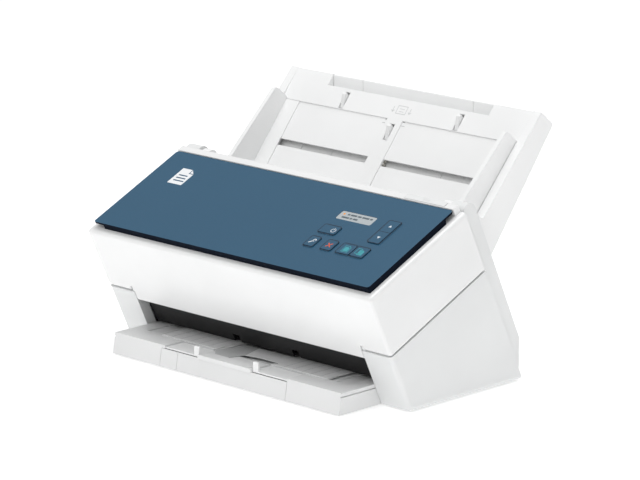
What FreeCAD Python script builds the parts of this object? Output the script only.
import FreeCAD, Part
import os
import Sketcher
from math import atan2, cos, degrees, pi, radians, sin, sqrt, tan

# Sheet fed document scanner: a base, an upper unit that opens, a folding input tray and an output drawer.
# +X is the operator's right, +Y the back, +Z up. The origin is on the desk, in the middle of the base.

doc = FreeCAD.newDocument("scanner")
sheet = doc.addObject("Spreadsheet::Sheet", "Sizes")

SIZES = (
    # body, seen from the side: u runs back and up along the sloped top, v runs square to it
    ("tilt", 25, "slope of the top and of the front, degrees"),
    ("bodyWidth", 310, "over the side covers"),
    ("stripWidth", 304, "over the rear cover and the tray ears"),
    ("baseDepth", 124.6, "footprint, front to back"),
    ("sideDepth", 114, "u of the side covers' back edge"),
    ("rearDepth", 127, "u of the rear face"),
    ("coverDepth", 113.4, "u of the upper unit's back edge"),
    ("seamHeight", 50.5, "v of the seam between base and upper unit"),
    ("seamGap", 0.4, "gap at that seam"),
    ("shellHeight", 104.8, "v of the upper shell's top"),
    ("plateHeight", 110.2, "v of the top plate's face"),
    ("bandHeight", 111, "v of the band behind the top plate"),
    ("bandStart", 107.3, "u of the band's front face"),
    ("wall", 3, "housing wall"),
    ("thinWall", 2.2, "inner walls and ribs"),
    ("fit", 0.4, "gap between neighbouring covers"),
    ("edgeRound", 4, "round of the housing's upright edges"),
    ("postWidth", 30, "base front on each side of the mouth"),
    ("mouthDepth", 9, "depth of the mouth's side walls"),
    ("chinHeight", 43, "v of the chin's lower edge"),
    ("knuckleRadius", 3, "round at the upper unit's hinge"),
    ("hingePin", 1, "pins of the upper unit's hinge"),
    ("footHeight", 1.2, "rubber feet below the base"),
    ("footRadius", 6.5, "rubber feet"),
    # paper path
    ("pathHeight", 50, "v of the lower paper guide"),
    ("pathGap", 1.2, "between lower and upper paper guide"),
    ("lipDepth", 9, "u of the lower guide's front lip"),
    ("lipHeight", 36, "v of the lower guide's front lip"),
    ("kneeDepth", 24, "u where the path turns down to the mouth"),
    ("rampDepth", 92, "u where the ramp from the input tray ends"),
    ("rampHeight", 60.4, "v of the ramp's upper end"),
    ("guideThick", 2.4, "sheet of both paper guides"),
    ("frameGap", 0.4, "gap between the guides and the chute's walls"),
    ("pickDepth", 92, "u of the pick roller"),
    ("feedDepth", 64, "u of the feed roller"),
    ("exitDepth", 28, "u of the exit roller"),
    ("tyreRadius", 9, "driven rollers"),
    ("tyreStand", 0.6, "driven rollers above the lower guide"),
    ("idlerRadius", 6, "pinch rollers of the upper unit"),
    ("sepRadius", 9, "separation roller of the upper unit"),
    ("rollerGap", 0.35, "between a driven roller and its partner"),
    ("shaftRadius", 3, "driven shafts"),
    ("bearingGap", 0.06, "shaft in its bearing"),
    ("tyreWidth", 26, "one rubber tyre"),
    ("tyreSpread", 30, "tyre's middle from the centre plane"),
    ("sensorDepth", 46, "u of the two image sensors"),
    ("sensorWidth", 224, "length of an image sensor"),
    # gear train
    ("gearModule", 1, "all gears"),
    ("gearWidth", 6, "face width"),
    ("motorRadius", 11, "drive motor"),
    ("gearStand", 7.4, "gears' inner face beyond the paper guides"),
    # output drawer
    ("drawerWidth", 249.4, "over the drawer"),
    ("drawerHeight", 16.8, "drawer"),
    ("drawerLift", 0.3, "drawer above the base's underside"),
    ("drawerFront", 45.7, "front edge before the base"),
    ("drawerRake", 3, "lean of the drawer's front"),
    ("drawerBack", 64, "drawer's back edge behind the base's front"),
    ("deckStep", 22.5, "front strip of the deck"),
    ("drawerTravel", 44, "push of the drawer"),
    ("stageLeft", 70.4, "left side of the first output extension"),
    ("stageRight", 67.6, "right side of both output extensions"),
    ("innerLeft", 51.8, "left side of the second output extension"),
    ("stageTop", 14.5, "height of the extensions' front lips"),
    ("stopThick", 1.3, "paper stops"),
    ("tabWidth", 5.6, "finger tab of a paper stop"),
    ("tabHeight", 8.4, "finger tab of a paper stop"),
    ("tabNotch", 4.6, "how deep the lower guide is notched for the finger tabs"),
    # input tray
    ("trayAngle", 51, "slope of the input tray's floor, degrees"),
    ("pivotDepth", 120.5, "u of the tray's pivot"),
    ("pivotHeight", 99.5, "v of the tray's pivot"),
    ("pivotAlong", 108.6, "pivot below the tray's top edge, along the floor"),
    ("pivotOff", 39.0, "pivot before the tray's floor"),
    ("trayWidth", 271, "over the tray's side rails"),
    ("trayLength", 117, "floor, top edge to lower edge"),
    ("trayThick", 18, "tray at its top edge"),
    ("trayRound", 3, "round of the tray's far top edge"),
    ("railWidth", 8, "tray's side rails"),
    ("eyeRadius", 5.6, "tray's pivot eyes"),
    ("pinRadius", 2.6, "pivot bosses"),
    ("earWidth", 14.6, "tray ears"),
    ("earTop", 107, "v of the tray ears' top"),
    ("floorThick", 2, "tray's floor"),
    ("notchWidth", 174.6, "notch at the tray's top edge"),
    ("notchLength", 11, "notch along the floor"),
    ("pocketWidth", 175.4, "pocket of the input extensions"),
    ("pocketLength", 96, "pocket along the floor"),
    ("pocketTop", 6.2, "pocket below the floor's face"),
    ("pocketFloor", 14.6, "pocket's far wall below the floor's face"),
    ("slideGap", 0.3, "around parts that slide"),
    ("innerStageLeft", 54, "left side of the second input extension"),
    ("innerStageRight", 65, "right side of the second input extension"),
    ("guideFace", 123, "paper guides' inner faces from the centre plane"),
    ("guideWall", 4, "paper guides' walls"),
    ("guideFoot", 15, "paper guides' feet"),
    ("guideTop", 28, "guides' upper end below the tray's top edge"),
    ("guideBottom", 104, "guides' lower end"),
    ("guideHigh", 25.5, "wall at the guides' lower end"),
    ("guideLow", 16.5, "wall at the guides' upper end"),
    ("guideTravel", 72, "travel of each guide"),
    ("slotMiddle", 67.6, "slots below the tray's top edge"),
    ("slotWidth", 6, "slots in the tray's floor"),
    ("pinionRadius", 8, "pitch radius of the guide pinion"),
    ("rackThick", 3, "guide racks"),
    # panel
    ("plateWidth", 300, "top plate"),
    ("plateStart", 6, "u of the plate's front edge"),
    ("plateEnd", 106.9, "u of the plate's back edge"),
    ("plateThick", 1.6, "top plate"),
    ("keyStand", 0.7, "keys above the plate"),
    ("keyGap", 0.35, "around each key"),
)


class Size:
    """A number together with the sheet expression that gives it."""

    def __init__(self, value, text=None):
        self.value = float(value)
        self.text = text or repr(float(value))

    def join(self, sign, other, value):
        return Size(value, "(%s %s %s)" % (self.text, sign, size(other).text))

    def __add__(self, other):
        return self.join("+", other, self.value + size(other).value)

    def __sub__(self, other):
        return self.join("-", other, self.value - size(other).value)

    def __mul__(self, other):
        return self.join("*", other, self.value * size(other).value)

    def __truediv__(self, other):
        return self.join("/", other, self.value / size(other).value)

    def __radd__(self, other):
        return size(other) + self

    def __rsub__(self, other):
        return size(other) - self

    def __rmul__(self, other):
        return size(other) * self

    def __neg__(self):
        return size(0) - self


def size(thing):
    return thing if isinstance(thing, Size) else Size(thing)


class Sheet:
    """The sheet's cells, as attributes."""


s = Sheet()
for row, (name, value, note) in enumerate(SIZES, 1):
    sheet.set("A%d" % row, name)
    sheet.set("B%d" % row, str(value))
    sheet.set("C%d" % row, note)
    sheet.setAlias("B%d" % row, name)
    setattr(s, name, Size(value, "Sizes." + name))
doc.recompute()


def cosine(angle):
    return Size(cos(radians(angle.value)), "cos(%s)" % angle.text)


def sine(angle):
    return Size(sin(radians(angle.value)), "sin(%s)" % angle.text)


class Frame:
    """A place and a turn about X: pieces are laid out in a frame's own y and z."""

    def __init__(self, y, z, angle):
        self.y, self.z, self.angle = size(y), size(z), size(angle)
        self.cos, self.sin = cosine(self.angle), sine(self.angle)

    def at(self, y, z):
        """A point of the frame, in the part's own y and z."""
        return (self.y + size(y) * self.cos - size(z) * self.sin,
                self.z + size(y) * self.sin + size(z) * self.cos)

    def shift(self, y, z, angle=None):
        """A frame whose origin is that point, turned by angle if one is given."""
        return Frame(*self.at(y, z), self.angle if angle is None else angle)


def layout(front):
    """The frames of the base, the body, the tray's pivot and the tray, from the y of the base's front edge."""
    body = Frame(front, s.footHeight, s.tilt)
    pivot = body.shift(s.pivotDepth, s.pivotHeight, s.trayAngle)
    return Frame(front, s.footHeight, 0), body, pivot, pivot.shift(s.pivotAlong, -s.pivotOff)


def front_edge():
    """The y of the base's front edge that sets the whole object's middle at y = 0, kept in the sheet."""
    tray = layout(0)[3]
    back = tray.at(-s.trayRound, s.trayRound - s.trayThick)[0] + s.trayRound
    front = (s.drawerFront - back) / 2
    cell = len(SIZES) + 1
    sheet.set("A%d" % cell, "frontEdge")
    sheet.set("B%d" % cell, "=" + front.text.replace("Sizes.", ""))
    sheet.set("C%d" % cell, "y of the base's front edge")
    sheet.setAlias("B%d" % cell, "frontEdge")
    doc.recompute()
    return Size(front.value, "Sizes.frontEdge")


BASE, BODY, PIVOT, TRAY = layout(front_edge())


def bind(thing, prop, value):
    """Set a property, and tie it to the sheet where the value comes from there."""
    value = size(value)
    thing.setExpression(prop, value.text)
    return value.value


def place(thing, frame, x=0, y=0, z=0, turn=None):
    """Put an object at a point of a frame, turned with it. turn is a rotation that replaces the frame's."""
    at_y, at_z = frame.at(y, z)
    rotation = turn or FreeCAD.Rotation(FreeCAD.Vector(1, 0, 0), frame.angle.value)
    thing.Placement = FreeCAD.Placement(FreeCAD.Vector(size(x).value, at_y.value, at_z.value), rotation)
    for axis, value in (("x", x), ("y", at_y), ("z", at_z)):
        bind(thing, ".Placement.Base." + axis, value)
    if turn is None:
        bind(thing, ".Placement.Rotation.Angle", frame.angle)


def box(name, frame, x, y, z):
    """A block between two values on each axis of a frame."""
    thing = doc.addObject("Part::Box", name)
    for prop, (low, high) in (("Length", x), ("Width", y), ("Height", z)):
        bind(thing, prop, size(high) - low)
    place(thing, frame, x[0], y[0], z[0])
    return thing


ALONG_X = FreeCAD.Rotation(FreeCAD.Vector(0, 1, 0), 90)


def rod(name, frame, x, y, z, radius):
    """A cylinder along X between two values of x."""
    thing = doc.addObject("Part::Cylinder", name)
    bind(thing, "Radius", radius)
    bind(thing, "Height", size(x[1]) - x[0])
    place(thing, frame, x[0], y, z, ALONG_X)
    return thing


def peg(name, frame, x, y, z, radius):
    """A cylinder square to a frame's floor between two values of z."""
    thing = doc.addObject("Part::Cylinder", name)
    bind(thing, "Radius", radius)
    bind(thing, "Height", size(z[1]) - z[0])
    place(thing, frame, x, y, z[0])
    return thing


def outline(sketch, corners):
    """A closed loop of lines, each corner held by its two distances from the sketch's origin."""
    first = sketch.GeometryCount
    count = len(corners)
    spots = [FreeCAD.Vector(size(c[0]).value, size(c[1]).value, 0) for c in corners]
    for i in range(count):
        sketch.addGeometry(Part.LineSegment(spots[i], spots[(i + 1) % count]), False)
    for i in range(count):
        sketch.addConstraint(Sketcher.Constraint("Coincident", first + i, 2, first + (i + 1) % count, 1))
    for i, corner in enumerate(corners):
        for kind, axis, value in (("DistanceX", -2, corner[0]), ("DistanceY", -1, corner[1])):
            value = size(value)
            if abs(value.value) < 1e-9:
                sketch.addConstraint(Sketcher.Constraint("PointOnObject", first + i, 1, axis))
                continue
            at = sketch.addConstraint(Sketcher.Constraint(kind, -1, 1, first + i, 1, value.value))
            sketch.setExpression("Constraints[%d]" % at, value.text)


def prism(name, plane, corners, x, frame, y=0, z=0):
    """A PartDesign body: an outline on one of its planes, padded between two values, its corners rounded.

    A corner is (a, b) or (a, b, radius). On plane YZ the pad runs along x, on XY along z, on XZ along y.
    """
    body = doc.addObject("PartDesign::Body", name)
    sketch = body.newObject("Sketcher::SketchObject", name + "_outline")
    own_plane = [f for f in body.Origin.OriginFeatures if f.Role == plane + "_Plane"][0]
    sketch.AttachmentSupport = [(own_plane, "")]
    sketch.MapMode = "FlatFace"
    outline(sketch, corners)
    pad = body.newObject("PartDesign::Pad", name + "_pad")
    pad.Profile = sketch
    pad.Reversed = plane == "XZ"
    bind(pad, "Length", size(x[1]) - x[0])
    body.Tip = pad
    start = {"YZ": (x[0], y, z), "XY": (0, y, x[0]), "XZ": (0, x[0], z)}[plane]
    place(body, frame, *start)
    doc.recompute()
    axis = {"YZ": 0, "XY": 2, "XZ": 1}[plane]
    last = pad
    for radius in sorted({c[2].value for c in ((a, b, size(r)) for a, b, *rest in corners for r in rest)}):
        spots = [[size(c[0]).value, size(c[1]).value] for c in corners
                 if len(c) > 2 and abs(size(c[2]).value - radius) < 1e-9]
        text = [size(c[2]).text for c in corners if len(c) > 2 and abs(size(c[2]).value - radius) < 1e-9][0]
        picked = [n for n, edge in enumerate(last.Shape.Edges, 1) if stands_at(edge, axis, spots)]
        fillet = body.newObject("PartDesign::Fillet", name + "_round")
        fillet.Base = (last, ["Edge%d" % n for n in picked])
        fillet.setExpression("Radius", text)
        body.Tip = last = fillet
        doc.recompute()
    return body


def stands_at(edge, axis, spots):
    """Whether a straight edge runs along the axis through one of the spots of the other two axes."""
    ends = [list(v.Point) for v in edge.Vertexes]
    if len(ends) != 2 or abs(ends[0][axis] - ends[1][axis]) < 1e-6:
        return False
    flat = [[e[i] for i in range(3) if i != axis] for e in ends]
    if max(abs(flat[0][i] - flat[1][i]) for i in (0, 1)) > 1e-6:
        return False
    return any(abs(flat[0][0] - a) < 1e-4 and abs(flat[0][1] - b) < 1e-4 for a, b in spots)


def cut(name, base, *tools):
    """A Part::Cut of the fused tools from a base."""
    thing = doc.addObject("Part::Cut", name)
    thing.Base = base
    thing.Tool = tools[0] if len(tools) == 1 else fuse(name + "_tools", *tools)
    return thing


def fuse(name, *pieces):
    thing = doc.addObject("Part::MultiFuse", name)
    thing.Shapes = list(pieces)
    thing.Refine = True
    return thing


def soften(name, base, radius, pick):
    """A Part::Fillet of the edges that pick(edge) chooses."""
    doc.recompute()
    thing = doc.addObject("Part::Fillet", name)
    thing.Base = base
    thing.Edges = [(n, radius, radius) for n, edge in enumerate(base.Shape.Edges, 1) if pick(edge)]
    return thing


nodes = []


def keep(label, thing):
    """Make an object one of the part's nodes."""
    thing.Label = label
    nodes.append(thing)
    return thing


def feature(label, shape, frame, x=0, y=0, z=0):
    """A node whose shape is worked out here, then put at a point of a frame."""
    thing = doc.addObject("Part::Feature", label)
    thing.Shape = shape
    place(thing, frame, x, y, z)
    return thing


# ---------------------------------------------------------------- housing of the base

USB_SPAN = (44, 56.6)
USB_RISE = (18.2, 29.6)
JACK_X, JACK_Z = 84, 24

HALF = s.bodyWidth / 2
STRIP = s.stripWidth / 2
MOUTH = HALF - s.postWidth
RIM = s.seamHeight - s.seamGap / 2
COVER_RIM = s.seamHeight + s.seamGap / 2
HINGE = (s.knuckleRadius, COVER_RIM + s.knuckleRadius)
LUG = s.knuckleRadius - 0.9


def body_point(u, v):
    """A point of the body frame in the base frame's y and z."""
    c, t = BODY.cos, BODY.sin
    return (size(u) * c - size(v) * t, size(u) * t + size(v) * c)


def level_at(u, height):
    """Where the plane at u comes down to a height of the base frame."""
    return ((size(u) - size(height) * BODY.sin) / BODY.cos, height)


def rise_at(u, height):
    """The v of the body's frame where the plane at u stands at a height of the base frame."""
    return (size(height) - size(u) * BODY.sin) / BODY.cos


def back_at(u):
    """Where the plane at u meets the upright back of the base."""
    return (s.baseDepth, (size(u) - s.baseDepth * BODY.cos) / BODY.sin)


def span(side, near, far):
    """Two values of x on one side, lowest first, from their distances to the centre plane."""
    return (size(near), size(far)) if side > 0 else (-size(far), -size(near))


def side_cover(label, side):
    solid = prism(label + "_solid", "YZ",
                  [(0, 0, 2), body_point(0, RIM), body_point(s.sideDepth, RIM),
                   back_at(s.sideDepth), (s.baseDepth, 0)],
                  span(side, MOUTH, HALF), BASE)
    outer = side * HALF.value

    def outer_front(edge):
        middle = edge.CenterOfMass
        return (abs(middle.x - outer) < 0.01 and len(edge.Vertexes) == 2
                and abs(edge.Length - RIM.value) < 4 and middle.y < BASE.y.value)

    rounded = soften(label + "_rounded", solid, s.edgeRound.value, outer_front)
    hollow = prism(label + "_hollow", "YZ",
                   [level_at(s.wall, -1), body_point(s.wall, RIM - s.wall),
                    body_point(s.mouthDepth + s.wall, RIM - s.wall),
                    body_point(s.mouthDepth + s.wall, RIM + 1), body_point(s.sideDepth + 1, RIM + 1),
                    (s.baseDepth + 2, back_at(s.sideDepth)[1]), (s.baseDepth + 2, -1)],
                   span(side, MOUTH + s.thinWall, HALF - s.wall), BASE)
    inner = box(label + "_inner", BODY, span(side, MOUTH - 1, MOUTH + s.thinWall + 0.1),
                (s.mouthDepth, s.rearDepth + 10), (-s.baseDepth, RIM + 1))
    lug = rod(label + "_lug", BODY, span(side, MOUTH, MOUTH + s.thinWall), *HINGE, LUG)
    stem = box(label + "_stem", BODY, span(side, MOUTH, MOUTH + s.thinWall),
               (s.knuckleRadius - LUG, s.knuckleRadius + LUG), (RIM - 4, HINGE[1]))
    bore = rod(label + "_bore", BODY, span(side, MOUTH - 1, MOUTH + s.thinWall + 1), *HINGE,
               s.hingePin + s.bearingGap)
    hull = fuse(label + "_hull", cut(label + "_open", rounded, hollow, inner), stem, lug)
    return keep(label, cut(label, hull, bore))


def bottom_pan():
    inside = HALF - s.wall - s.fit
    slot = MOUTH + s.thinWall + s.fit
    back = s.drawerBack + s.drawerTravel + 3
    pan = prism("pan_plate", "XY",
                [(-inside, s.wall + 1), (-slot, s.wall + 1), (-slot, back), (slot, back), (slot, s.wall + 1),
                 (inside, s.wall + 1), (inside, s.baseDepth - s.wall), (-inside, s.baseDepth - s.wall)],
                (0, s.thinWall), BASE)
    rails = [box("pan_rail", BASE, span(side, s.drawerWidth / 2 + s.fit, slot + 0.6),
                 (s.mouthDepth + 4, back), (0, s.drawerHeight)) for side in (-1, 1)]
    stop = box("pan_stop", BASE, (-slot, slot), (back, back + s.thinWall), (0, s.drawerHeight))
    return keep("bottom_pan", fuse("bottom_pan", pan, stop, *rails))


def rear_cover():
    solid = prism("rear_solid", "YZ",
                  [body_point(s.sideDepth + s.fit, RIM), body_point(s.rearDepth, RIM),
                   back_at(s.rearDepth), (s.baseDepth, 0), (s.baseDepth - s.wall + s.fit, 0),
                   (s.baseDepth - s.wall + s.fit, back_at(s.sideDepth)[1])],
                  (-STRIP, STRIP), BASE)
    hollow = prism("rear_hollow", "YZ",
                   [body_point(s.sideDepth - 20, RIM - s.thinWall - 20),
                    body_point(s.sideDepth - 20, RIM - s.thinWall),
                    body_point(s.rearDepth - s.thinWall, RIM - s.thinWall),
                    (s.baseDepth - s.thinWall, back_at(s.rearDepth)[1]),
                    (s.baseDepth - s.thinWall, s.thinWall + 1),
                    (s.baseDepth - 20, s.thinWall + 1)],
                   (s.thinWall - STRIP, STRIP - s.thinWall), BASE)
    tools = [hollow]
    for i in range(10):
        left = -86 + 9 * i
        tools.append(box("vent", BASE, (left, left + 3), (s.baseDepth - 6, s.baseDepth + 1), (10, 26)))
    tools.append(box("usb_hole", BASE, USB_SPAN, (s.baseDepth - 6, s.baseDepth + 1), USB_RISE))
    tools.append(rod_back("jack_hole", JACK_X, JACK_Z, 4.6))
    return keep("rear_cover", cut("rear_cover", solid, *tools))


def rod_back(name, x, z, radius):
    """A cylinder along Y through the base's back."""
    thing = doc.addObject("Part::Cylinder", name)
    bind(thing, "Radius", radius)
    bind(thing, "Height", 14)
    turn = FreeCAD.Rotation(FreeCAD.Vector(1, 0, 0), 90)
    place(thing, BASE, x, s.baseDepth + 1, z, turn)
    return thing




def tray_ear(label, side):
    inner = STRIP - s.earWidth
    ear = prism(label + "_block", "YZ",
                [(s.sideDepth + s.fit, RIM), (s.rearDepth, RIM), (s.rearDepth, s.earTop, 7),
                 (s.sideDepth + s.fit, s.earTop, 5)],
                span(side, inner, STRIP), BODY)
    boss = rod(label + "_boss", BODY, span(side, s.trayWidth / 2 - s.railWidth + 1, inner + 1),
               s.pivotDepth, s.pivotHeight, s.pinRadius)
    return keep(label, fuse(label, ear, boss))


def foot(label, x, y):
    pad = doc.addObject("Part::Cone", label + "_pad")
    bind(pad, "Radius1", s.footRadius - 0.5)
    bind(pad, "Radius2", s.footRadius)
    bind(pad, "Height", s.footHeight)
    place(pad, BASE, x, y, -s.footHeight)
    return keep(label, pad)


for label, side in (("side_cover_left", -1), ("side_cover_right", 1)):
    side_cover(label, side)
bottom_pan()
rear_cover()
for label, side in (("tray_ear_left", -1), ("tray_ear_right", 1)):
    tray_ear(label, side)
for end, y in (("front", s.footRadius + 10), ("rear", s.baseDepth - s.footRadius - 6)):
    for label, side in (("left", -1), ("right", 1)):
        foot("foot_%s_%s" % (end, label), side * (HALF - 15), y)

# ---------------------------------------------------------------- paper path of the base

SHAFT_V = s.pathHeight + s.tyreStand - s.tyreRadius
GUIDE = MOUTH - s.frameGap
GEARS = GUIDE + s.gearStand
DRAWER_TOP = s.drawerLift + s.drawerHeight
SHAFTS = (("pick", s.pickDepth), ("feed", s.feedDepth), ("exit", s.exitDepth))


STOP_SPANS = ((-66.5, -28.9), (30.3, 67))


def tab_span(across):
    """Where a paper stop's finger tab stands across the drawer: at the stop's inner end."""
    left = across[1] - s.tabWidth if across[0] < 0 else across[0]
    return left, left + s.tabWidth


def lower_guide():
    t = s.guideThick
    apron = s.lipDepth + 1.4
    sheet_metal = prism("lower_sheet", "YZ",
                        [(apron, rise_at(apron, DRAWER_TOP + 1.4)), (s.lipDepth, s.lipHeight),
                         (s.kneeDepth, s.pathHeight, 6), (s.rampDepth, s.pathHeight, 12),
                         (s.rearDepth, s.rampHeight), (s.rearDepth, s.rampHeight - t),
                         (s.rampDepth + 0.4, s.pathHeight - t), (s.kneeDepth + 1, s.pathHeight - t),
                         (s.lipDepth + t, s.lipHeight - 1), (apron + t, rise_at(apron + t, DRAWER_TOP + 2.4))],
                        (-GUIDE, GUIDE), BODY)
    windows = []
    for name, u in SHAFTS:
        for side in (-1, 1):
            middle = side * s.tyreSpread
            half = s.tyreWidth / 2 + 1.5
            windows.append(box(name + "_window", BODY, (middle - half, middle + half),
                               (u - s.tyreRadius - 1, u + s.tyreRadius + 1),
                               (s.pathHeight - 1.5 * s.tyreRadius, s.pathHeight + 8)))
    windows.append(box("glass_window", BODY, (-s.sensorWidth / 2 - 1, s.sensorWidth / 2 + 1),
                       (s.sensorDepth - 7.2, s.sensorDepth + 7.2), (s.pathHeight - 6, s.pathHeight + 6)))
    for across in STOP_SPANS:
        left, right = tab_span(across)
        windows.append(box("tab_notch", BASE, (left - 0.8, right + 0.8), (-2, s.tabNotch),
                           (s.stageTop, s.stageTop + s.tabHeight + 1.6)))
    return keep("lower_guide", cut("lower_guide", sheet_metal, *windows))


def paper_chute():
    floor_low = s.drawerHeight + s.drawerLift + 1.2
    floor_high = floor_low + s.thinWall
    top = s.pathHeight - 8
    back = (s.baseDepth - s.wall - 12, floor_low)
    floor = box("chute_floor", BASE, (-GUIDE - 1, GUIDE + 1), (6.6, s.baseDepth - s.wall - 12),
                (floor_low, floor_high))
    pieces = [floor]
    for side in (-1, 1):
        pieces.append(prism("chute_wall", "YZ",
                            [(6.6, floor_low), body_point(s.mouthDepth + 1, s.lipHeight - 6),
                             body_point(s.kneeDepth - 4, top + 2), body_point(s.rampDepth + 8, top + 2),
                             (s.baseDepth - s.wall - 12, floor_low + 20), back],
                            span(side, GUIDE, GUIDE + 2), BASE))
    bores = []
    for name, u in SHAFTS:
        bores.append(rod(name + "_bore", BODY, (-MOUTH - 5, MOUTH + 5), u, SHAFT_V,
                         s.shaftRadius + s.bearingGap))
    bores.append(rod("motor_bore", BODY, (MOUTH - 5, MOUTH + 5), *CENTRE["motor"], 2.6))
    bores.append(rod("motor_room", BODY, (GEARS - 46.6, GEARS - 15.4), *CENTRE["motor"], s.motorRadius + 0.5))
    studs = [rod(name + "_stud", BODY, (GUIDE + 1, GEARS + s.gearWidth + 1), *CENTRE[name],
                 s.shaftRadius - s.bearingGap) for name in IDLERS]
    return keep("paper_chute", fuse("paper_chute", cut("chute_bored", fuse("chute_shell", *pieces), *bores), *studs))


def tyres(label, u, v, radius, frame=BODY, bore=s.shaftRadius):
    """Two rubber tyres on one sleeve, bored for its shaft."""
    reach = s.tyreSpread + s.tyreWidth / 2
    pieces = [rod(label + "_sleeve", frame, (-reach - 3, reach + 3), u, v, bore + 1.6)]
    for side in (-1, 1):
        pieces.append(rod(label + "_tyre", frame, span(side, s.tyreSpread - s.tyreWidth / 2, reach),
                          u, v, radius))
    hole = rod(label + "_hole", frame, (-reach - 4, reach + 4), u, v, bore)
    return keep(label, cut(label, fuse(label + "_blank", *pieces), hole))


def along_x(a, b, depth):
    return FreeCAD.Vector(depth, a, b)


def along_z(a, b, depth):
    return FreeCAD.Vector(a, b, depth)


def gear_shape(teeth, bore, phase, low, high, along):
    """An involute gear between two values on its axis, one tooth's middle at phase degrees."""
    module = s.gearModule.value
    pitch_radius = module * teeth / 2
    base = pitch_radius * cos(radians(20))
    tip = pitch_radius + 0.95 * module
    root = pitch_radius - 1.2 * module
    slack = 0.05 * module / pitch_radius

    def involute(radius):
        return sqrt((radius / base) ** 2 - 1) - atan2(sqrt(radius ** 2 - base ** 2), base)

    half = pi / (2 * teeth) - slack + involute(pitch_radius)
    start = max(base, root)
    radii = [start + (tip - start) * i / 3 for i in range(4)]
    flank = [(r, half - (involute(r) if r > base else 0)) for r in radii]
    corners = []
    for tooth in range(teeth):
        middle = radians(phase) + 2 * pi * tooth / teeth
        run = [(root, -flank[0][1])] + [(r, -a) for r, a in flank]
        run += [(r, a) for r, a in reversed(flank)] + [(root, flank[0][1])]
        corners += [along(r * cos(middle + a), r * sin(middle + a), low) for r, a in run]
    face = Part.Face(Part.makePolygon(corners + corners[:1]))
    gear = face.extrude(along(0, 0, high - low))
    if bore:
        gear = gear.cut(Part.makeCylinder(bore, high - low + 2, along(0, 0, low - 1), along(0, 0, 1)))
    return gear


def direction(a, b):
    return degrees(atan2(b[1] - a[1], b[0] - a[0]))


def meshing_phase(driver, phase, driver_teeth, gear, teeth):
    """The phase of a gear whose gap takes the driver's tooth on the line between their centres."""
    part = (direction(driver, gear) - phase) / (360 / driver_teeth) % 1
    return direction(gear, driver) - (0.5 - part) * 360 / teeth


SHAFT_TEETH, LOW_IDLER, HIGH_IDLER, PINION_TEETH = 14, 26, 18, 10
IDLERS = ("low_idler", "high_idler")


def train():
    """Centres, teeth and phases of the gears, in the body frame's u and v, from the motor up."""
    module = s.gearModule.value
    v = SHAFT_V.value
    centre = {"pick": (s.pickDepth.value, v), "feed": (s.feedDepth.value, v), "exit": (s.exitDepth.value, v)}

    def between(a, b, teeth):
        reach = module * (teeth + SHAFT_TEETH) / 2
        half = (centre[a][0] - centre[b][0]) / 2
        return (centre[b][0] + half, v - sqrt(reach ** 2 - half ** 2))

    centre["low_idler"] = between("feed", "exit", LOW_IDLER)
    centre["high_idler"] = between("pick", "feed", HIGH_IDLER)
    centre["motor"] = (centre["low_idler"][0], centre["low_idler"][1] - module * (LOW_IDLER + PINION_TEETH) / 2)
    teeth = {"pick": SHAFT_TEETH, "feed": SHAFT_TEETH, "exit": SHAFT_TEETH,
             "low_idler": LOW_IDLER, "high_idler": HIGH_IDLER, "motor": PINION_TEETH}
    phase = {"motor": 90}
    for a, b in (("motor", "low_idler"), ("low_idler", "feed"), ("low_idler", "exit"),
                 ("feed", "high_idler"), ("high_idler", "pick")):
        phase[b] = meshing_phase(centre[a], phase[a], teeth[a], centre[b], teeth[b])
    return centre, teeth, phase


CENTRE, TEETH, PHASE = train()


def gear_at(name, bore):
    """A gear of the train in its place."""
    low = GEARS.value
    shape = gear_shape(TEETH[name], bore, PHASE[name], low, low + s.gearWidth.value, along_x)
    return feature(name + "_gear", shape, BODY, 0, *CENTRE[name])


def driven_shaft(name, u):
    shaft = rod(name + "_rod", BODY, (-GEARS, GEARS + s.gearWidth + 4), u, SHAFT_V, s.shaftRadius)
    return keep(name + "_shaft", fuse(name + "_shaft", shaft, gear_at(name, 0)))


def lower_sensor():
    half = s.sensorWidth / 2
    bar = box("sensor_bar", BODY, (-half, half), (s.sensorDepth - 6, s.sensorDepth + 6),
              (s.pathHeight - 14, s.pathHeight - 1.8))
    keep("lower_sensor", bar)
    glass = box("sensor_glass", BODY, (-half, half), (s.sensorDepth - 6.8, s.sensorDepth + 6.8),
                (s.pathHeight - 1.8, s.pathHeight - 0.1))
    keep("lower_glass", glass)


def motor():
    u, v = CENTRE["motor"]
    can = rod("motor_can", BODY, (GEARS - 46, GEARS - 16), u, v, s.motorRadius)
    neck = rod("motor_neck", BODY, (GEARS - 17, GEARS - 14), u, v, 4)
    return keep("drive_motor", fuse("drive_motor", can, neck))


lower_guide()
paper_chute()
lower_sensor()
for name, u in SHAFTS:
    driven_shaft(name, u)
    tyres(name + "_tyres", u, SHAFT_V, s.tyreRadius)


# ---------------------------------------------------------------- drive and electronics


for name in IDLERS:
    keep(name + "_gear", gear_at(name, s.shaftRadius.value))
motor()
pinion_rod = rod("pinion_rod", BODY, (GEARS - 14, GEARS + 1), *CENTRE["motor"], 2)
keep("motor_pinion", fuse("motor_pinion", pinion_rod, gear_at("motor", 0)))

BOARD_FRONT = s.baseDepth - 13
BOARD_BACK = BOARD_FRONT + 1.6


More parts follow.
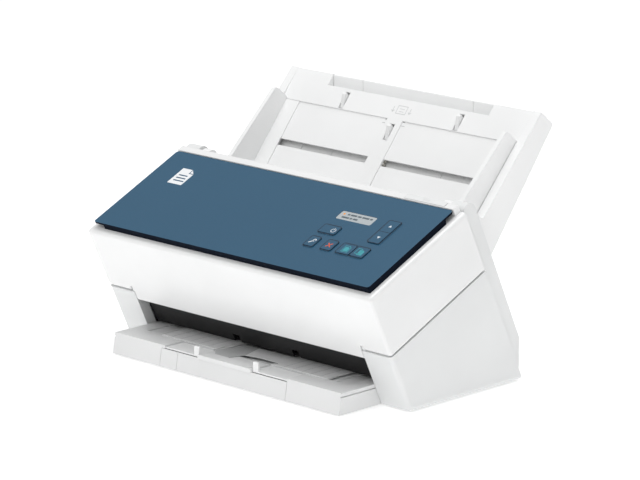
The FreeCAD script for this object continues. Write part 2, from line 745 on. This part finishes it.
def ports():
    keep("main_board", box("board", BASE, (-96, 106), (BOARD_FRONT, BOARD_BACK),
                           (s.drawerHeight, s.drawerHeight + 26)))
    shell = box("usb_shell", BASE, (USB_SPAN[0] + 0.3, USB_SPAN[1] - 0.3), (BOARD_BACK, s.baseDepth - 1),
                (USB_RISE[0] + 0.3, USB_RISE[1] - 0.3))
    room = box("usb_room", BASE, (USB_SPAN[0] + 2, USB_SPAN[1] - 2), (s.baseDepth - 9, s.baseDepth + 1),
               (USB_RISE[0] + 1.6, USB_RISE[1] - 1.6))
    tongue = box("usb_tongue", BASE, (USB_SPAN[0] + 3.6, USB_SPAN[1] - 3.6),
                 (s.baseDepth - 9.5, s.baseDepth - 2), (USB_RISE[0] + 4, USB_RISE[1] - 4))
    keep("usb_port", fuse("usb_port", cut("usb_open", shell, room), tongue))
    block = box("jack_block", BASE, (JACK_X - 5, JACK_X + 5), (BOARD_BACK, s.baseDepth - 2.4),
                (JACK_Z - 5.2, JACK_Z + 5.2))
    barrel = rod_back("jack_barrel", JACK_X, JACK_Z, 4.4)
    well = rod_back("jack_well", JACK_X, JACK_Z, 3.1)
    for thing, end in ((barrel, 0.6), (well, -1)):
        bind(thing, "Height", 10)
        place(thing, BASE, JACK_X, s.baseDepth - end, JACK_Z, FreeCAD.Rotation(FreeCAD.Vector(1, 0, 0), 90))
    pin = rod_back("jack_pin", JACK_X, JACK_Z, 1)
    place(pin, BASE, JACK_X, s.baseDepth - 1.5, JACK_Z, FreeCAD.Rotation(FreeCAD.Vector(1, 0, 0), 90))
    bind(pin, "Height", 9)
    keep("dc_jack", fuse("dc_jack", cut("jack_open", fuse("jack_body", block, barrel), well), pin))


ports()

# ---------------------------------------------------------------- upper unit

LATCH_SPAN = (99.2, 139.9)
THROAT_TOP = 71


def upper_shell():
    solid = prism("shell_solid", "YZ",
                  [(0, COVER_RIM, s.knuckleRadius), (0, s.shellHeight, s.knuckleRadius),
                   (s.coverDepth, s.shellHeight), (s.coverDepth, COVER_RIM)], (-HALF, HALF), BODY)

    def outer_front(edge):
        middle = edge.CenterOfMass
        return (abs(abs(middle.x) - HALF.value) < 0.01 and middle.y < BASE.y.value
                and edge.Length > 30 and len(edge.Vertexes) == 2)

    rounded = soften("shell_rounded", solid, s.knuckleRadius.value - 0.2, outer_front)
    inside = HALF - s.wall
    hollow = box("shell_hollow", BODY, (-inside, inside), (s.wall, s.coverDepth - s.wall),
                 (s.seamHeight - 1, s.shellHeight - s.wall))
    throat = box("shell_throat", BODY, (-MOUTH, MOUTH), (s.coverDepth - 8, s.coverDepth + 1),
                 (s.seamHeight - 1, THROAT_TOP))
    top_hole = box("shell_top_hole", BODY, (-138, 138), (s.plateStart + 12, s.plateEnd - 12),
                   (s.shellHeight - 5, s.shellHeight + 1))
    slots = []
    bosses = []
    pins = []
    for side in (-1, 1):
        across = span(side, MOUTH - s.fit, MOUTH + s.thinWall + s.fit)
        slots.append(box("lug_slot", BODY, across, (-1, 8), (s.seamHeight - 1, HINGE[1] + 1.8)))
        slots.append(box("lug_room", BODY, across, (0.5, 8), (HINGE[1], HINGE[1] + LUG + 0.5)))
        bosses.append(rod("pin_boss", BODY, span(side, MOUTH - 6, MOUTH - s.fit), *HINGE, LUG + 0.5))
        bosses.append(rod("pin_boss", BODY, span(side, MOUTH + s.thinWall + s.fit, MOUTH + 8), *HINGE,
                          LUG + 0.5))
        pins.append(rod("hinge_pin", BODY, span(side, MOUTH - 1, MOUTH + s.thinWall + 1), *HINGE, s.hingePin))
    chin = prism("shell_chin", "YZ",
                 [(0, s.chinHeight, 1), (0, COVER_RIM + 4), (s.wall, COVER_RIM + 4), (5.2, s.chinHeight + 3),
                  (3.8, s.chinHeight)], (s.fit * 1.5 - MOUTH, MOUTH - s.fit * 1.5), BODY)
    band = box("shell_band", BODY, (2 - STRIP, STRIP - 2), (s.bandStart, s.coverDepth),
               (s.shellHeight - 1, s.bandHeight))
    latch_bay = box("latch_bay", BODY, (LATCH_SPAN[0] - s.keyGap, LATCH_SPAN[1] + s.keyGap),
                    (s.bandStart + 0.8, s.coverDepth + 1), (s.shellHeight - 1, s.bandHeight + 1))
    hull = fuse("shell_hull", cut("shell_open", rounded, hollow, throat, top_hole), chin, band, *bosses)
    return keep("upper_shell", fuse("upper_shell", cut("shell_cut", hull, latch_bay, *slots), *pins))


UPPER = s.pathHeight + s.pathGap
IDLER_V = s.pathHeight + s.tyreStand + s.rollerGap + s.idlerRadius
SEP_V = s.pathHeight + s.tyreStand + s.rollerGap + s.sepRadius
IDLER_SHAFT = s.shaftRadius - 1


def upper_guide():
    t = s.guideThick
    bent = prism("upper_sheet", "YZ",
                 [(7.5, UPPER - 5), (s.kneeDepth - 1, UPPER), (s.rampDepth - 8, UPPER, 10),
                  (s.coverDepth - s.wall - 0.5, THROAT_TOP - 2), (s.coverDepth - s.wall - 0.5, THROAT_TOP - 2 + t),
                  (s.rampDepth - 8.8, UPPER + t, 8), (s.kneeDepth - 1.6, UPPER + t), (7.5, UPPER - 5 + t)],
                 (-GUIDE, GUIDE), BODY)
    back = s.coverDepth - s.wall - 0.5
    sides = [prism("upper_side", "YZ",
                   [(18, UPPER + 1), (s.rampDepth - 8, UPPER + 1), (back, THROAT_TOP - 1),
                    (back, s.shellHeight - s.wall), (18, s.shellHeight - s.wall)],
                   span(side, GUIDE - 2.4, GUIDE), BODY) for side in (-1, 1)]
    tools = []
    for name, u, v, radius in UPPER_ROLLERS:
        tools.append(rod(name + "_bore", BODY, (-HALF, HALF), u, v, IDLER_SHAFT + s.bearingGap))
        for side in (-1, 1):
            middle = side * s.tyreSpread
            half = s.tyreWidth / 2 + 1.5
            tools.append(box(name + "_window", BODY, (middle - half, middle + half),
                             (u - radius - 1, u + radius + 1), (UPPER - 2, UPPER + 16)))
    tools.append(box("upper_glass_window", BODY, (-s.sensorWidth / 2 - 1, s.sensorWidth / 2 + 1),
                     (s.sensorDepth - 7.2, s.sensorDepth + 7.2), (UPPER - 2, UPPER + 5)))
    tools.append(box("throat_corner", BODY, (-GUIDE - 1, GUIDE + 1), (s.rampDepth - 8, s.coverDepth),
                     (s.seamHeight - 4, UPPER + 0.1)))
    return keep("upper_guide", cut("upper_guide", fuse("upper_guide_hull", bent, *sides), *tools))


UPPER_ROLLERS = (("separation_roller", s.pickDepth, SEP_V, s.sepRadius),
                 ("feed_idler", s.feedDepth, IDLER_V, s.idlerRadius),
                 ("exit_idler", s.exitDepth, IDLER_V, s.idlerRadius))


def upper_roller(label, u, v, radius):
    """Tyres moulded on a shaft that turns in the upper guide's sides."""
    reach = s.tyreSpread + s.tyreWidth / 2
    pieces = [rod(label + "_axle", BODY, (-GUIDE, GUIDE), u, v, IDLER_SHAFT)]
    for side in (-1, 1):
        pieces.append(rod(label + "_tyre", BODY, span(side, s.tyreSpread - s.tyreWidth / 2, reach),
                          u, v, radius))
    return keep(label, fuse(label, *pieces))


def upper_sensor():
    half = s.sensorWidth / 2
    keep("upper_sensor", box("upper_bar", BODY, (-half, half), (s.sensorDepth - 6, s.sensorDepth + 6),
                             (UPPER + 1.8, UPPER + 14)))
    keep("upper_glass", box("upper_pane", BODY, (-half, half), (s.sensorDepth - 6.8, s.sensorDepth + 6.8),
                            (UPPER + 0.1, UPPER + 1.8)))


def latch():
    low, high = LATCH_SPAN
    body = box("latch_body", BODY, (low, high), (s.bandStart + 1.1, s.coverDepth - 0.2),
               (s.shellHeight + 1.8, s.bandHeight + 0.2))
    grip = prism("latch_grip", "YZ",
                 [(s.coverDepth - 0.4, s.bandHeight - 3.4), (s.coverDepth - 0.4, s.bandHeight + 0.2),
                  (s.coverDepth + 0.3, s.bandHeight + 0.2)], (low + 2, high - 2), BODY)
    return keep("release_latch", fuse("release_latch", body, grip))


upper_shell()
upper_guide()
for roller in UPPER_ROLLERS:
    upper_roller(*roller)
upper_sensor()
latch()

# ---------------------------------------------------------------- control panel

PLATE_LOW = s.plateHeight - s.plateThick
KEYS = (  # name, x span, u span
    ("key_power", (56.8, 74.8), (52.2, 61)),
    ("key_tools", (57, 67.4), (34.4, 45.4)),
    ("key_cancel", (74.8, 85.8), (34.4, 45.4)),
    ("key_simplex", (90.6, 104.8), (34.4, 45.4)),
    ("key_duplex", (105.6, 118.9), (34.4, 45.4)),
    ("key_rocker", (108.6, 119.4), (52.8, 81.4)),
)
LCD = ((58.6, 95), (70.9, 81))
BAY = ((51, 125), (29, 86))
BOARD_TOP = s.shellHeight + 0.6


def key_shape(name, across, along, grow, low, high):
    """A block with rounded corners over a key's place, larger by grow on each side."""
    left, right = size(across[0]) - grow, size(across[1]) + grow
    front, back = size(along[0]) - grow, size(along[1]) + grow
    return prism(name, "XY", [(left, front, 1.6), (right, front, 1.6), (right, back, 1.6), (left, back, 1.6)],
                 (low, high), BODY)


def bezel():
    block = prism("bezel_block", "XY",
                  [(-139.5, s.plateStart + 1.6, 3), (148.6, s.plateStart + 1.6, 3),
                   (148.6, s.plateEnd - 9, 3), (139, s.plateEnd - 1.5, 3), (-139.5, s.plateEnd - 1.5, 3)],
                  (s.shellHeight, PLATE_LOW), BODY)
    bay = box("bezel_bay", BODY, *BAY, (s.shellHeight - 1, PLATE_LOW + 1))
    return keep("panel_bezel", cut("panel_bezel", block, bay))


def top_plate():
    half = s.plateWidth / 2
    blank = prism("plate_blank", "XY",
                  [(-half, s.plateStart, 2.5), (half, s.plateStart, 2.5), (half, s.plateEnd, 2.5),
                   (-half, s.plateEnd, 2.5)], (PLATE_LOW, s.plateHeight), BODY)
    holes = [key_shape(name + "_hole", across, along, s.keyGap, PLATE_LOW - 1, s.plateHeight + 1)
             for name, across, along in KEYS if name != "key_duplex" and name != "key_simplex"]
    pair = (KEYS[3][1][0], KEYS[4][1][1])
    holes.append(key_shape("pair_hole", pair, KEYS[3][2], s.keyGap, PLATE_LOW - 1, s.plateHeight + 1))
    holes.append(key_shape("lcd_hole", *LCD, 0, PLATE_LOW - 1, s.plateHeight + 1))
    return keep("top_plate", cut("top_plate", blank, *holes))


def key(label, across, along):
    low = BOARD_TOP + 0.8
    cap = key_shape(label + "_cap", across, along, 0, low, s.plateHeight + s.keyStand)
    if label == "key_rocker":
        axle = rod(label + "_axle", BODY, (size(across[0]) - 1.8, size(across[1]) + 1.8),
                   sum(along) / 2, low + 0.6, 0.9)
        return keep(label, fuse(label, cap, axle))
    skirt = box(label + "_skirt", BODY, across, (size(along[0]) - 1.2, size(along[1]) + 1.2), (low, low + 1.2))
    return keep(label, fuse(label, cap, skirt))


bezel()
top_plate()
for name, across, along in KEYS:
    key(name, across, along)
keep("lcd_window", key_shape("lcd_glass", *LCD, -0.1, PLATE_LOW + 0.3, s.plateHeight - 0.1))
panel_pcb = box("panel_pcb", BODY, (BAY[0][0] + 1, BAY[0][1] - 1), (BAY[1][0] + 1, BAY[1][1] - 1),
                (BOARD_TOP - 1.6, BOARD_TOP))
lcd_cell = box("lcd_cell", BODY, (LCD[0][0] - 2, LCD[0][1] + 2), (LCD[1][0] - 1.5, LCD[1][1] + 1.5),
               (BOARD_TOP - 0.1, PLATE_LOW))
keep("panel_board", fuse("panel_board", panel_pcb, lcd_cell))

# ---------------------------------------------------------------- input tray

RAIL_IN = s.trayWidth / 2 - s.railWidth
PINION_X = -1.6
FLAGS = (("flag_left", -62.5, -21.5), ("flag_middle", PINION_X, -41), ("flag_right", 61.8, -21.5))
STRIP_SPAN = (-9.8, 6.6)


def tray_panel():
    half = s.trayWidth / 2
    drop = s.trayLength * 0.031
    slab = prism("tray_slab", "YZ",
                 [(0, 0, 1.2), (0, -s.trayThick, s.trayRound), (-s.trayLength, -s.trayThick - drop),
                  (-s.trayLength, 0)], (-half, half), TRAY)
    rails = []
    for side in (-1, 1):
        across = span(side, RAIL_IN, half)
        rails.append(prism("tray_rail", "YZ",
                           [(0, -s.trayThick + 4), (0, 0), (-98, 5.3), (5 - s.pivotAlong, s.pivotOff - 2.4),
                            (-5 - s.pivotAlong, s.pivotOff + 2.4), (-19 - s.pivotAlong, s.pivotOff - 27),
                            (-s.trayLength, -4)], across, TRAY))
        rails.append(rod("tray_eye", TRAY, across, -s.pivotAlong, s.pivotOff, s.eyeRadius))
    tools = [rod("tray_eye_bore", TRAY, (-half - 1, half + 1), -s.pivotAlong, s.pivotOff,
                 s.pinRadius + s.bearingGap)]
    inside = half - 3
    tools.append(box("tray_back_room", TRAY, (-inside, inside), (2 - s.trayLength, -1.5),
                     (-s.trayThick - 9, -s.pocketFloor)))
    tools.append(box("extension_pocket", TRAY, (-s.pocketWidth / 2, s.pocketWidth / 2),
                     (-s.pocketLength, 1), (-s.pocketFloor - 1, -s.pocketTop)))
    tools.append(box("tray_notch", TRAY, (-s.notchWidth / 2, s.notchWidth / 2), (-s.notchLength, 1),
                     (-s.pocketTop - 1, 1)))
    tools.append(box("rack_room", TRAY, (-RAIL_IN, RAIL_IN), (-s.slotMiddle - 16.5, 16.5 - s.slotMiddle),
                     (-s.pocketTop - 0.1, -s.floorThick)))
    for low, high in ((-s.guideFace - 0.2, STRIP_SPAN[0]), (STRIP_SPAN[1], s.guideFace + 0.2)):
        tools.append(box("foot_recess", TRAY, (low, high), (-s.guideBottom - 1, -s.guideTop - 1.6), (-0.8, 1)))
        tools.append(box("rack_slot", TRAY, (max_size(low, 5.0 - s.guideFace), min_size(high, s.guideFace - 5.0)),
                         (-s.slotMiddle - s.slotWidth / 2, s.slotWidth / 2 - s.slotMiddle),
                         (-s.floorThick - 1, 1)))
    for name, x, along in FLAGS:
        tools.append(box(name + "_slot", TRAY, (x - 2.5, x + 2.5), (along - 7.5, along + 7.4),
                         (-s.pocketTop + 0.2, 1)))
        tools.append(rod(name + "_bore", TRAY, (x - 3.8, x + 3.8), along - 5, -2.9, 0.9))
    post = peg("pinion_post", TRAY, PINION_X, -s.slotMiddle, (-s.pocketTop + 0.3, -s.floorThick + 0.2), 2)
    hull = cut("tray_open", fuse("tray_hull", slab, *rails), *tools)
    return keep("tray_panel", fuse("tray_panel", hull, post))


def max_size(a, b):
    a, b = size(a), size(b)
    return a if a.value > b.value else b


def min_size(a, b):
    a, b = size(a), size(b)
    return a if a.value < b.value else b


def tray_back():
    inside = s.trayWidth / 2 - 3 - 0.3
    plate = box("tray_back", TRAY, (-inside, inside), (2.3 - s.trayLength, -1.8),
                (-s.trayThick + 0.4, -s.pocketFloor))
    return keep("tray_back", plate)


def input_extensions():
    half = s.pocketWidth / 2 - s.slideGap
    left, right = -s.innerStageLeft, s.innerStageRight
    low, high = -s.pocketFloor + s.slideGap, -s.pocketTop - s.slideGap
    deck = low + 2.6
    lip = [(2.4 - s.notchLength, high - 0.1), (-1.6, -0.8), (-0.5, -0.8), (-0.5, high - 0.1)]
    plate = box("outer_plate", TRAY, (-half, half), (6 - s.pocketLength, -0.5), (low, deck))
    pieces = [plate]
    for near, far in ((left - s.slideGap, -half), (right + s.slideGap, half)):
        edge = s.slideGap - s.notchWidth / 2 if far.value < 0 else s.notchWidth / 2 - s.slideGap
        pieces.append(box("outer_rail", TRAY, (min_size(near, far), max_size(near, far)),
                          (6 - s.pocketLength, -0.5), (deck - 0.1, high)))
        pieces.append(prism("outer_lip", "YZ", lip, (min_size(near, edge), max_size(near, edge)), TRAY))
    keep("input_extension_outer", fuse("input_extension_outer", *pieces))
    slab = box("inner_plate", TRAY, (left, right), (8 - s.pocketLength, -0.5), (deck + s.slideGap, high))
    inner_lip = prism("inner_lip", "YZ", lip, (left, right), TRAY)
    keep("input_extension_inner", fuse("input_extension_inner", slab, inner_lip))


def rack_shape(low, high, gap_at, facing):
    """A rack along x with its pitch line on y 0, its back towards facing, and a gap's middle at gap_at."""
    module = s.gearModule.value
    pitch = pi * module
    lean = tan(radians(20))
    half = pitch / 4 - 0.06
    first = gap_at + pitch * (int((low - gap_at) / pitch) + 1) + pitch / 2
    corners = [(low, 5), (low, 1.2 * module)]
    tooth = first
    while tooth + pitch / 2 < high:
        for x, y in ((-half - 1.2 * module * lean, 1.2), (-half + 0.95 * module * lean, -0.95),
                     (half - 0.95 * module * lean, -0.95), (half + 1.2 * module * lean, 1.2)):
            corners.append((tooth + x, y * module))
        tooth += pitch
    corners += [(high, 1.2 * module), (high, 5)]
    spots = [along_z(x, facing * y, 0) for x, y in corners]
    return Part.Face(Part.makePolygon(spots + spots[:1])).extrude(along_z(0, 0, s.rackThick.value))


def paper_guide(label, side):
    """A wall, a foot in the floor's recess, and below the floor a rack that meets the pinion."""
    wall = prism(label + "_wall", "YZ",
                 [(-s.guideTop, 0.05), (-s.guideTop, s.guideLow, 3), (-s.guideBottom, s.guideHigh, 3),
                  (-s.guideBottom, 0.05)], span(side, s.guideFace, s.guideFace + s.guideWall), TRAY)
    foot_plate = box(label + "_foot", TRAY, span(side, s.guideFace - s.guideFoot, s.guideFace + 0.1),
                     (1 - s.guideBottom, -s.guideTop - 2), (-0.75, 0.1))
    carrier_span = span(side, s.guideFace - s.guideFoot + 3, s.guideFace - 5.4)
    neck = box(label + "_neck", TRAY, carrier_span,
               (-s.slotMiddle - s.slotWidth / 2 + 0.3, s.slotWidth / 2 - 0.3 - s.slotMiddle),
               (-s.floorThick - 0.4, -0.7))
    top = -s.floorThick - 0.3
    reach = s.pinionRadius + 5
    below = (-s.slotMiddle - 2.7, reach - s.slotMiddle) if side < 0 else (-reach - s.slotMiddle, 2.7 - s.slotMiddle)
    carrier = box(label + "_carrier", TRAY, carrier_span, below, (top - s.rackThick, top))
    far = side * (s.guideFace.value - s.guideFoot.value + 4)
    near = PINION_X - side * (s.pinionRadius.value + 2.5)
    rack = rack_shape(min(far, near), max(far, near), PINION_X, -side)
    teeth = feature(label + "_rack", rack, TRAY, 0, -s.slotMiddle - side * s.pinionRadius, top - s.rackThick)
    return keep(label, fuse(label, wall, foot_plate, neck, carrier, teeth))


def guide_pinion():
    width = s.rackThick.value
    teeth = round(2 * s.pinionRadius.value / s.gearModule.value)
    gear = gear_shape(teeth, 2.06, 90, 0, width, along_z)
    thing = feature("guide_pinion", gear, TRAY, PINION_X, -s.slotMiddle, -s.floorThick - 0.3 - width)
    return keep("guide_pinion", thing)


def flag(label, x, along):
    blade = prism(label + "_blade", "YZ",
                  [(along - 6.4, -3.9), (along - 6.4, -1.7), (along + 3.5, 3.6), (along + 5.5, 3.0),
                   (along + 4.5, -1.3), (along - 3, -3.9)], (x - 1.9, x + 1.9), TRAY)
    pin = rod(label + "_pin", TRAY, (x - 3.6, x + 3.6), along - 5, -2.9, 0.8)
    return keep(label, fuse(label, blade, pin))


tray_panel()
tray_back()
input_extensions()
for label, side in (("guide_left", -1), ("guide_right", 1)):
    paper_guide(label, side)
guide_pinion()
for row in FLAGS:
    flag(*row)

# ---------------------------------------------------------------- output drawer

DRAWER_LOW = s.drawerLift


def front_at(height):
    """y of the drawer's raked front at a height of the base frame."""
    return s.drawerRake * (size(height) - DRAWER_LOW) / s.drawerHeight - s.drawerFront


def raked(name, across, back, low, high, frame=BASE):
    """A block whose front is the drawer's raked front."""
    return prism(name, "YZ", [(front_at(low), low), (front_at(high), high), (back, high), (back, low)],
                 across, frame)


def drawer():
    half = s.drawerWidth / 2
    solid = raked("drawer_solid", (-half, half), s.drawerBack, DRAWER_LOW, DRAWER_TOP)
    left, right = -s.stageLeft - s.slideGap, s.stageRight + s.slideGap
    bay = box("stage_bay", BASE, (left, right), (-60, s.drawerBack - 3), (1.8, s.stageTop + s.slideGap))
    nose = box("stage_nose", BASE, (left, right), (-60, 8 - s.drawerFront), (-1, 2))
    tools = [bay, nose]
    for across in STOP_SPANS:
        tools.append(box("stop_bay", BASE, (across[0] - 0.4, across[1] + 0.4), (-60, -s.deckStep - 0.6),
                         (s.stageTop - 1, DRAWER_TOP + 1)))
    for side in (-1, 1):
        tools.append(box("side_groove", BASE, span(side, half - 1.2, half + 1), (-60, s.drawerBack + 1),
                         (s.stageTop - 0.9, s.stageTop - 0.1)))
    for x, near in RIBS:
        tools.append(box("deck_groove", BASE, (x - 6.7, x + 6.7), (near, s.drawerBack - 6),
                         (DRAWER_TOP - 1.1, DRAWER_TOP + 1)))
    tools.append(prism("deck_valley", "YZ",
                       [(-s.deckStep - 2, DRAWER_TOP), (-s.deckStep + 4, DRAWER_TOP - 1.9),
                        (s.drawerBack - 6, DRAWER_TOP - 1.9), (s.drawerBack - 6, DRAWER_TOP + 1),
                        (-s.deckStep - 2, DRAWER_TOP + 1)], (-27, 30), BASE))
    block = raked("drawer_block", (-25.3, 27.4), -34, s.stageTop + s.slideGap + 0.2, DRAWER_TOP + 0.7)
    ledges = [box("deck_ledge", BASE, span(side, 32, 91), (-s.deckStep - 1, -s.deckStep + 0.4),
                  (DRAWER_TOP - 1, DRAWER_TOP + 0.7)) for side in (-1, 1)]
    return keep("output_drawer", fuse("output_drawer", cut("drawer_cut", solid, *tools), block, *ledges))


RIBS = tuple((side * (41 + 15.5 * i) + (1.5 if side > 0 else 0), -s.deckStep + 1) for side in (-1, 1)
             for i in range(5))


def output_stages():
    low = DRAWER_LOW
    right = s.stageRight
    nose = 7 - s.drawerFront
    plate = box("stage_plate", BASE, (-s.stageLeft, right), (nose + 0.5, s.drawerBack - 6), (2.1, 4.5))
    rail = box("stage_rail", BASE, (-s.stageLeft, -s.innerLeft - s.slideGap), (nose - 0.1, s.drawerBack - 6),
               (4.4, s.stageTop))
    lip = raked("stage_lip", (-s.stageLeft, -s.innerLeft - s.slideGap), nose, low, s.stageTop)
    keep("output_extension_outer", fuse("output_extension_outer", plate, rail, lip))
    slab = box("inner_slab", BASE, (-s.innerLeft, right), (nose - 0.1, s.drawerBack - 8), (4.8, s.stageTop))
    front = raked("inner_front", (-s.innerLeft, right), nose, low, s.stageTop)
    keep("output_extension_inner", fuse("output_extension_inner", slab, front))


def paper_stop(label, across):
    """A flap in the deck's bay that turns up about its front edge, with a finger tab at its inner end."""
    low = s.stageTop + 0.35
    high = low + s.stopThick
    start = front_at(high) + 0.4
    flap = prism(label + "_flap", "YZ",
                 [(start, low, 0.5), (start, high, 0.5), (-s.deckStep - 1.2, high), (-s.deckStep - 1.2, low)],
                 across, BASE)
    left, right = tab_span(across)
    tab = prism(label + "_tab", "XZ",
                [(left, low + 0.3), (left, low + s.tabHeight, 0.8),
                 (right, low + s.tabHeight, 0.8), (right, low + 0.3)], (start, start + s.stopThick + 0.3), BASE)
    return keep(label, fuse(label, flap, tab))


drawer()
output_stages()
for label, across in zip(("paper_stop_left", "paper_stop_right"), STOP_SPANS):
    paper_stop(label, across)

doc.recompute()
os.makedirs("parts", exist_ok=True)
for thing in doc.Objects:
    broken = {"Invalid", "Error"} & set(thing.State)
    if broken:
        raise RuntimeError("%s is %s" % (thing.Label, broken))
for thing in nodes:
    if thing.Shape.isNull() or not thing.Shape.isValid():
        raise RuntimeError("%s has no valid shape" % thing.Label)
for thing in nodes:
    thing.Shape.exportStep("parts/%s.step" % thing.Label)
    print("%-22s %d solid %9.1f mm3" % (thing.Label, len(thing.Shape.Solids), thing.Shape.Volume))
